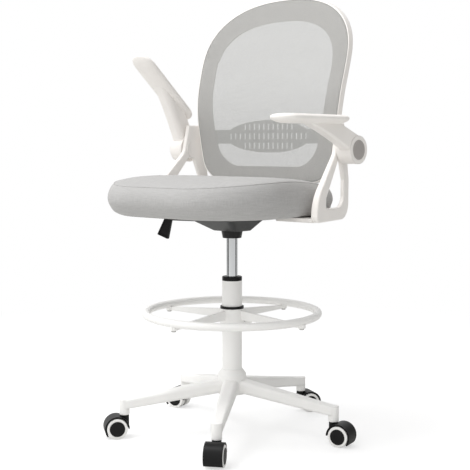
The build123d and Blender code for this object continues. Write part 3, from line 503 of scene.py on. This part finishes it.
class CHAIR_OT_white_parts(bpy.types.Operator):
    """Moulded and coated white parts: back frame, arm supports, base, column and foot ring"""

    bl_idname = "drafting_chair.white_parts"
    bl_label = "White parts"

    def execute(self, context):
        finish = context.scene.chair_finish
        nylon = moulded_plastic("nylon_moulded_white", finish.white, 0.42, 0.5, soft=0.003)
        warm = moulded_plastic("nylon_moulded_warm_white", finish.warm, 0.42, 0.5, soft=0.003)
        coat = powder_coat("steel_powder_coated_white", finish.white, 0.35)
        dress(nylon, "base_star", "clamp_knob", *[f"caster_{n}_wheels" for n in CASTERS])
        dress(
            warm, "back_frame", "arm_support_left", "arm_support_right", "arm_link_left", "arm_link_right")
        dress(coat, "column_tube", "foot_ring_tube", "foot_ring_spider", "back_bracket")
        return {"FINISHED"}


class CHAIR_OT_dark_parts(bpy.types.Operator):
    """Black and grey mouldings and the coated steel under the seat"""

    bl_idname = "drafting_chair.dark_parts"
    bl_label = "Dark parts"

    def execute(self, context):
        finish = context.scene.chair_finish
        black = moulded_plastic("polypropylene_moulded_black", finish.black, 0.45, 0.7, shine=0.25)
        coat = powder_coat("steel_powder_coated_black", finish.black, 0.4, shine=0.3)
        grey = moulded_plastic("abs_moulded_grey", finish.cap, 0.4, 0.5)
        lumbar = moulded_plastic("polypropylene_moulded_pale_grey", linear("#e6e6e3"), 0.5, 0.6)
        dress(
            black, "column_collar", "foot_ring_bush", "lever_paddle",
            *[f"caster_{n}_{part}" for n in CASTERS for part in ("hood", "caps")])
        dress(coat, "mechanism_housing", "taper_socket", "lever_rod")
        dress(grey, "arm_cap_left", "arm_cap_right")
        dress(lumbar, "lumbar_support")
        return {"FINISHED"}


class CHAIR_OT_metal_parts(bpy.types.Operator):
    """Chromed gas cylinder, plated pins, screws and bolts, and the plywood seat pan"""

    bl_idname = "drafting_chair.metal_parts"
    bl_label = "Metal parts"

    def execute(self, context):
        dress(chrome_plate(), "gas_cylinder")
        dress(
            zinc_plate(), "gas_rod", "release_pin", "foot_ring_screws", "clamp_stud", "lever_pin",
            "seat_bolts", "back_screws", "arm_pin_left", "arm_pin_right",
            *[f"caster_{n}_{part}" for n in CASTERS for part in ("stem", "axle")])
        dress(birch_ply(), "seat_pan")
        return {"FINISHED"}


class CHAIR_OT_seat_cushion(bpy.types.Operator):
    """Seat cushion: a crowned foam pad in a woven cover, blown up between its top seam and the pan"""

    bl_idname = "drafting_chair.seat_cushion"
    bl_label = "Seat cushion"

    # Place of the top seam below and inside the foam's edge
    seam_inset = 0.0130
    seam_drop = 0.005
    # What the cover gains in front of the arm supports, and from which y to which y it sets in
    front_roll, roll_run = 0.0022, (-0.026, -0.060)
    front_bulge, bulge_run = 0.0065, (-0.040, -0.130)
    front_lift, lift_run = 0.005, (0.100, -0.060)
    # Share of the lower edge's insets that is kept between the arm supports
    rear_share = 0.35
    # Cloth: how far it is held underneath and beside the seam, its pressure, frames and least points
    held_underneath = 0.006
    held_beside_seam = 0.0045
    pressure = 4.0
    cloth_frames = 20
    least_points = 5000

    def ease(self, y, start, end):
        """Share from 0 at start to 1 at end, with a soft run at both."""
        share = min(1.0, max(0.0, (y - start) / (end - start)))
        return share * share * (3 - 2 * share)

    def underside(self, y):
        """Height of the cover's lower edge, which rolls over the pan in front of the arm supports."""
        return SEAT_BOTTOM - self.front_roll * self.ease(y, *self.roll_run)

    def top(self, y):
        """Height of the cover's top, which is fuller than the foam in front of the back."""
        return crown_height(y) + self.front_lift * self.ease(y, *self.lift_run)

    def side_outline(self, inset, rear_inset=None):
        """Outline that swells at the front, clear of the arm supports, and may keep another inset behind."""
        rear = seat_outline(inset if rear_inset is None else rear_inset)
        front = seat_outline(inset - self.front_bulge)
        return [Vector(a).lerp(Vector(b), self.ease(a[1], *self.bulge_run)) for a, b in zip(rear, front)]

    def rings(self):
        """Rings from the underside to the middle of the top."""
        # Insets of the flat underside, then insets and rises of the lower edge
        flat = [0.150, 0.100, 0.070]
        low = [(0.052, 0), (0.036, 0), (0.027, 0.0010), (0.018, 0.0045), (0.0095, 0.0105)]
        # Insets of the sides and their share of the height up to the seam
        sides = [
            (0.0025, 0.30), (-0.0020, 0.43), (-0.0030, 0.56), (-0.0015, 0.70), (0.0028, 0.84), (0.0075, 0.93)]
        # Insets and drops from the seam to the middle of the top
        top = [(self.seam_inset, self.seam_drop), (0.0185, 0.0024), (0.0245, 0.0009)]
        top += [(inset, 0.0) for inset in (0.032, 0.044, 0.062, 0.090, 0.130, 0.175, 0.215)]
        made = [[(x, y, SEAT_BOTTOM) for x, y in seat_outline(inset)] for inset in flat]
        for inset, rise in low:
            edge = self.side_outline(inset, self.rear_share * inset)
            made.append([(x, y, self.underside(y) + rise) for x, y in edge])
        for inset, share in sides:
            made.append([
                (x, y, self.underside(y) + share * (self.top(y) - self.seam_drop - self.underside(y)))
                for x, y in self.side_outline(inset)])
        for inset, drop in top:
            made.append([(x, y, self.top(y) - drop) for x, y in self.side_outline(inset)])
        return made

    def blow_up(self, pad, soft):
        """Cloth under pressure, held at the seam and underneath, then capped and applied."""
        scene = bpy.context.scene
        seam = [Vector((x, y, self.top(y) - self.seam_drop)) for x, y in self.side_outline(self.seam_inset)]
        held = pad.vertex_groups.new(name="held")
        rest = [v.co.copy() for v in pad.data.vertices]
        for index, place in enumerate(rest):
            if place.z < SEAT_BOTTOM + self.held_underneath:
                held.add([index], 1.0, "REPLACE")
            elif min((place - s).length_squared for s in seam) < self.held_beside_seam ** 2:
                held.add([index], 1.0, "REPLACE")
        cloth = pad.modifiers.new("cover", "CLOTH")
        cloth.settings.use_pressure = True
        cloth.settings.uniform_pressure_force = self.pressure
        cloth.settings.effector_weights.gravity = 0.0
        cloth.settings.vertex_group_mass = "held"
        cloth.settings.quality = 5
        for step in range(1, self.cloth_frames + 1):
            scene.frame_set(step)
        shape = pad.evaluated_get(bpy.context.evaluated_depsgraph_get())
        moved = [v.co.copy() for v in shape.data.vertices]
        pad.modifiers.remove(cloth)
        scene.frame_set(1)
        for vertex, old, new in zip(pad.data.vertices, rest, moved):
            step = new - old
            if step.length > soft.swell:
                step *= soft.swell / step.length
            vertex.co = old + step
        return seam

    def execute(self, context):
        soft = context.scene.chair_soft
        cover = woven_cover(context.scene.chair_finish.fabric)
        points, faces = bridge(self.rings())
        pad = new_piece("seat_cushion_cover", points, faces, cover, "seat")
        remesh = pad.modifiers.new("voxels", "REMESH")
        remesh.mode = "VOXEL"
        remesh.voxel_size = soft.voxel
        remesh.use_smooth_shade = True
        dense = bpy.data.meshes.new_from_object(pad.evaluated_get(context.evaluated_depsgraph_get()))
        pad.modifiers.remove(remesh)
        pad.data = dense
        if len(dense.vertices) < self.least_points:
            raise RuntimeError("the cushion's voxel mesh is too coarse")
        seam = self.blow_up(pad, soft)
        finish_piece(pad, cover, "seat")
        round_off(pad)
        skin = BVHTree.FromObject(pad, context.evaluated_depsgraph_get())
        path = [skin.find_nearest(place)[0] for place in seam]
        tube_piece("seat_cushion_welt", path, soft.welt, cover, "seat")
        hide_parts("seat_cushion")
        return {"FINISHED"}


class CHAIR_OT_back_mesh(bpy.types.Operator):
    """Knitted mesh stretched over the front of the back frame, with its edge cord, painted a darker grey as
    the shade of its groove
    """

    bl_idname = "drafting_chair.back_mesh"
    bl_label = "Back mesh"

    # Radius of the edge cord, how far it lies behind the back's face and its spread past the edge
    cord_radius = 0.0009
    cord_behind = 0.0011
    cord_spread = 1.002

    def rings(self, edge):
        """Rings from the edge, which turns back on the frame, to the middle."""
        turned_back = [(1.0, 0.0012), (0.996, 0.0003)]
        inner = [0.988, 0.96, 0.92, 0.86, 0.79] + [0.71 - 0.09 * i for i in range(8)]
        made = []
        for share, behind in turned_back + [(share, 0.0) for share in inner]:
            ring = []
            for x, z in edge:
                place = BACK_MIDDLE + share * (Vector((x, z)) - BACK_MIDDLE)
                ring.append((place.x, back_depth(place.x, place.y, behind), place.y))
            made.append(ring)
        return made

    def execute(self, context):
        edge = back_outline()
        points, faces = bridge(self.rings(edge), close_start=False)
        knit = knitted_mesh(context.scene.chair_finish.mesh)
        sheet = new_piece("back_mesh_knit", points, faces, knit, "seat")
        # The cord is the mesh's edge; its darker grey is painted shade of the groove where the mesh meets the
        # frame.
        cord = moulded_plastic("edge_cord_grey_painted_groove_shade", linear("#9a9a98"), 0.5, 0.5)
        path = [(x * self.cord_spread, back_depth(x, z, self.cord_behind), z) for x, z in edge]
        trim = tube_piece("back_mesh_edge_cord", path, self.cord_radius, cord, "seat")
        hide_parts("back_mesh")
        return {"FINISHED"}


class CHAIR_OT_arm_pads(bpy.types.Operator):
    """Arm pads: self-skinned foam with a soft crown and rounded rims, one of them turned up"""

    bl_idname = "drafting_chair.arm_pads"
    bl_label = "Arm pads"

    def outline(self, inset, end_steps=16, side_steps=10):
        """Long pad with round ends seen from above, drawn in from its edge."""
        radius = PAD_HALF.x - inset
        straight = PAD_HALF.y - PAD_HALF.x
        points = []
        for side, start in ((1, 0.0), (-1, pi)):
            end_y = PAD_MIDDLE.y + side * straight
            for angle in [start + pi * i / end_steps for i in range(end_steps + 1)]:
                points.append((PAD_MIDDLE.x + radius * cos(angle), end_y + radius * sin(angle)))
            for i in range(1, side_steps):
                y = PAD_MIDDLE.y + side * straight * (1 - 2 * i / side_steps)
                points.append((PAD_MIDDLE.x - side * radius, y))
        return points

    def rings(self, crown):
        """Rings from the bulging underside, round the rim, to the crowned top."""
        low, high = PAD_LOW.z, PAD_HIGH.z
        rim = high - crown
        underside = [(0.030, low - 0.0050), (0.022, low - 0.0042), (0.013, low - 0.0020)]
        sides = [
            (0.0055, low + 0.0012), (0.0018, low + 0.0040), (0.0004, low + 0.0060), (0.0000, low + 0.0085),
            (0.0003, low + 0.0105), (0.0022, rim - 0.0022), (0.0062, rim - 0.0004)]
        top = [
            (0.0125, high - 0.60 * crown), (0.0200, high - 0.25 * crown), (0.0280, high - 0.06 * crown),
            (0.0345, high)]
        return [[(x, y, z) for x, y in self.outline(inset)] for inset, z in underside + sides + top]

    def execute(self, context):
        points, faces = bridge(self.rings(context.scene.chair_soft.pad_crown))
        warm = context.scene.chair_finish.warm
        skin = moulded_plastic("polyurethane_self_skinned_warm_white", warm, 0.5, 0.9)
        pivot = Matrix.Translation((0, *ARM_PIVOT))
        mirror = Matrix.Diagonal((-1, 1, 1, 1))
        turn = pivot @ Matrix.Rotation(RIGHT_FLIP, 4, "X") @ pivot.inverted() @ mirror
        for side in ("left", "right"):
            if side == "right":
                points = [tuple(turn @ Vector(p)) for p in points]
                faces = [tuple(reversed(f)) for f in faces]
            pad = new_piece(f"arm_pad_{side}_skin", points, faces, skin, f"arm_{side}")
            round_off(pad)
            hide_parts(f"arm_pad_{side}")
        return {"FINISHED"}


class CHAIR_OT_studio(bpy.types.Operator):
    """Pale floor, soft light from above and all round, and the camera"""

    bl_idname = "drafting_chair.studio"
    bl_label = "Studio"

    # Floor: half its width, where the white sets in round the chair, its least share, the shadow's lift
    floor_reach = 40.0
    fade_start, fade_end = 0.6, 2.0
    least_white = 0.45
    shadow_lift = 0.14
    # Room light: its strength at the raised arm's side and at the lowered arm's side
    bright_side, dark_side = 1.22, 0.36
    # Dark cards at both sides: how far out they stand and their size
    card_distance = 1.7
    card_width, card_height = 1.0, 1.5

    def lay_floor(self):
        """Floor that the camera sees as white, with a soft shadow that fades out away from the chair."""
        paint = bpy.data.materials.new("matt_painted_floor")
        paint.use_nodes = True
        tree = paint.node_tree
        tree.nodes.clear()
        seen = add(tree, "ShaderNodeLightPath").outputs["Is Camera Ray"]
        place = add(tree, "ShaderNodeTexCoord").outputs["Object"]
        away = add(tree, "ShaderNodeVectorMath", {0: place}, operation="LENGTH")
        fade = add(tree, "ShaderNodeMapRange", {
            "Value": away.outputs["Value"], "From Min": self.fade_start, "From Max": self.fade_end,
            "To Min": self.least_white, "To Max": 1.0})
        whitened = add(tree, "ShaderNodeMath", {0: seen, 1: fade.outputs["Result"]}, operation="MULTIPLY")
        pale = add(tree, "ShaderNodeMix", {
            "Factor": seen, "A": shade(linear("#e0e0de")), "B": WHITE}, data_type="RGBA")
        matt = add(tree, "ShaderNodeBsdfDiffuse", {"Color": pale.outputs["Result"]})
        lift = add(tree, "ShaderNodeMath", {0: seen, 1: self.shadow_lift}, operation="MULTIPLY")
        haze = add(tree, "ShaderNodeEmission", {"Color": WHITE, "Strength": lift.outputs[0]})
        lit = add(tree, "ShaderNodeAddShader", {0: matt.outputs[0], 1: haze.outputs[0]})
        glow = add(tree, "ShaderNodeEmission", {"Color": WHITE, "Strength": 1.0})
        mixed = add(tree, "ShaderNodeMixShader", {
            0: whitened.outputs[0], 1: lit.outputs[0], 2: glow.outputs[0]})
        add(tree, "ShaderNodeOutputMaterial", {"Surface": mixed.outputs[0]})
        corners = [
            (x * self.floor_reach, y * self.floor_reach, 0) for x, y in ((-1, -1), (1, -1), (1, 1), (-1, 1))]
        floor = flat_card("studio_floor", corners, paint)

    def light_room(self, scene, sky):
        """White backdrop, and room light that is brighter on the raised arm's side than behind the other."""
        world = bpy.data.worlds.new("studio_light")
        scene.world = world
        world.use_nodes = True
        tree = world.node_tree
        tree.nodes.clear()
        rays = add(tree, "ShaderNodeLightPath")
        seen = add(tree, "ShaderNodeMath", {
            0: rays.outputs["Is Camera Ray"], 1: rays.outputs["Is Transmission Ray"]}, operation="MAXIMUM")
        way = add(tree, "ShaderNodeTexCoord").outputs["Generated"]
        lowered_side = (cos(CAMERA_TURN), sin(CAMERA_TURN), 0.0)
        side = add(tree, "ShaderNodeVectorMath", {0: way, 1: lowered_side}, operation="DOT_PRODUCT")
        level = add(tree, "ShaderNodeMapRange", {
            "Value": side.outputs["Value"], "From Min": 0.05, "From Max": 0.9,
            "To Min": sky * self.bright_side, "To Max": sky * self.dark_side,
        }, interpolation_type="SMOOTHSTEP")
        ambient = add(tree, "ShaderNodeBackground", {"Color": WHITE, "Strength": level.outputs["Result"]})
        backdrop = add(tree, "ShaderNodeBackground", {"Color": WHITE, "Strength": 1.0})
        mixed = add(tree, "ShaderNodeMixShader", {
            0: seen.outputs[0], 1: ambient.outputs[0], 2: backdrop.outputs[0]})
        add(tree, "ShaderNodeOutputWorld", {"Surface": mixed.outputs[0]})

    def hang_softbox(self, power):
        """Large square light above the front of the chair."""
        light = bpy.data.lights.new("overhead_softbox", "AREA")
        light.shape = "RECTANGLE"
        light.size = SOFTBOX_SIZE
        light.size_y = SOFTBOX_SIZE
        light.energy = power
        lamp = put_in_scene("overhead_softbox", light)
        lamp.location = SOFTBOX_PLACE
        lamp.rotation_euler = (SOFTBOX_AIM - lamp.location).to_track_quat("-Z", "Y").to_euler()

    def stand_cards(self):
        """Dark cards, seen only in reflections, that draw the edges of chrome and black parts."""
        felt = bpy.data.materials.new("black_felt_card")
        felt.use_nodes = True
        fill(felt.node_tree, felt.node_tree.nodes["Principled BSDF"], {
            "Base Color": shade(linear("#1c1c1c")), "Roughness": 0.9})
        up = Vector((0, 0, self.card_height))
        for side, turn in (("left", CAMERA_TURN + pi), ("right", CAMERA_TURN)):
            out = Vector((cos(turn), sin(turn), 0)) * self.card_distance
            across = Vector((-sin(turn), cos(turn), 0)) * self.card_width / 2
            corners = [out - across, out + across, out + across + up, out - across + up]
            card = flat_card(f"dark_card_{side}", corners, felt)
            for ray in ("camera", "diffuse", "shadow", "transmission"):
                setattr(card, f"visible_{ray}", False)

    def set_camera(self, scene, lens):
        """Camera where the photograph was taken."""
        eye = bpy.data.cameras.new("photo_camera")
        eye.sensor_width = 36.0
        eye.lens = lens
        camera = put_in_scene("photo_camera", eye)
        camera.location = CAMERA_PLACE
        camera.rotation_euler = (pi / 2 - CAMERA_TILT, 0.0, CAMERA_TURN)
        scene.camera = camera

    def execute(self, context):
        scene = context.scene
        studio = scene.chair_studio
        scene.view_settings.view_transform = "Standard"
        self.lay_floor()
        self.light_room(scene, studio.sky)
        self.hang_softbox(studio.key)
        self.stand_cards()
        self.set_camera(scene, studio.lens)
        return {"FINISHED"}


class CHAIR_PT_panel(bpy.types.Panel):
    """The chair's pieces and finishes in the sidebar"""

    bl_idname = "CHAIR_PT_panel"
    bl_label = "Drafting chair"
    bl_space_type = "VIEW_3D"
    bl_region_type = "UI"
    bl_category = "Chair"

    def draw(self, context):
        for group in (context.scene.chair_finish, context.scene.chair_soft, context.scene.chair_studio):
            for key in group.__annotations__:
                self.layout.prop(group, key)
        for step in STEPS:
            self.layout.operator(step.bl_idname)


GROUPS = {"chair_finish": ChairFinish, "chair_soft": ChairSoft, "chair_studio": ChairStudio}
STEPS = (
    CHAIR_OT_white_parts, CHAIR_OT_dark_parts, CHAIR_OT_metal_parts, CHAIR_OT_seat_cushion,
    CHAIR_OT_back_mesh, CHAIR_OT_arm_pads, CHAIR_OT_studio,
)


def register():
    for group in GROUPS.values():
        bpy.utils.register_class(group)
    for step in STEPS:
        bpy.utils.register_class(step)
    bpy.utils.register_class(CHAIR_PT_panel)
    for key, group in GROUPS.items():
        setattr(bpy.types.Scene, key, PointerProperty(type=group))


def unregister():
    for key in GROUPS:
        delattr(bpy.types.Scene, key)
    bpy.utils.unregister_class(CHAIR_PT_panel)
    for step in reversed(STEPS):
        bpy.utils.unregister_class(step)
    for group in GROUPS.values():
        bpy.utils.unregister_class(group)


def main():
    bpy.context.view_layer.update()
    register()
    for step in STEPS:
        group, name = step.bl_idname.split(".")
        getattr(getattr(bpy.ops, group), name)()


if __name__ == "__main__":
    main()
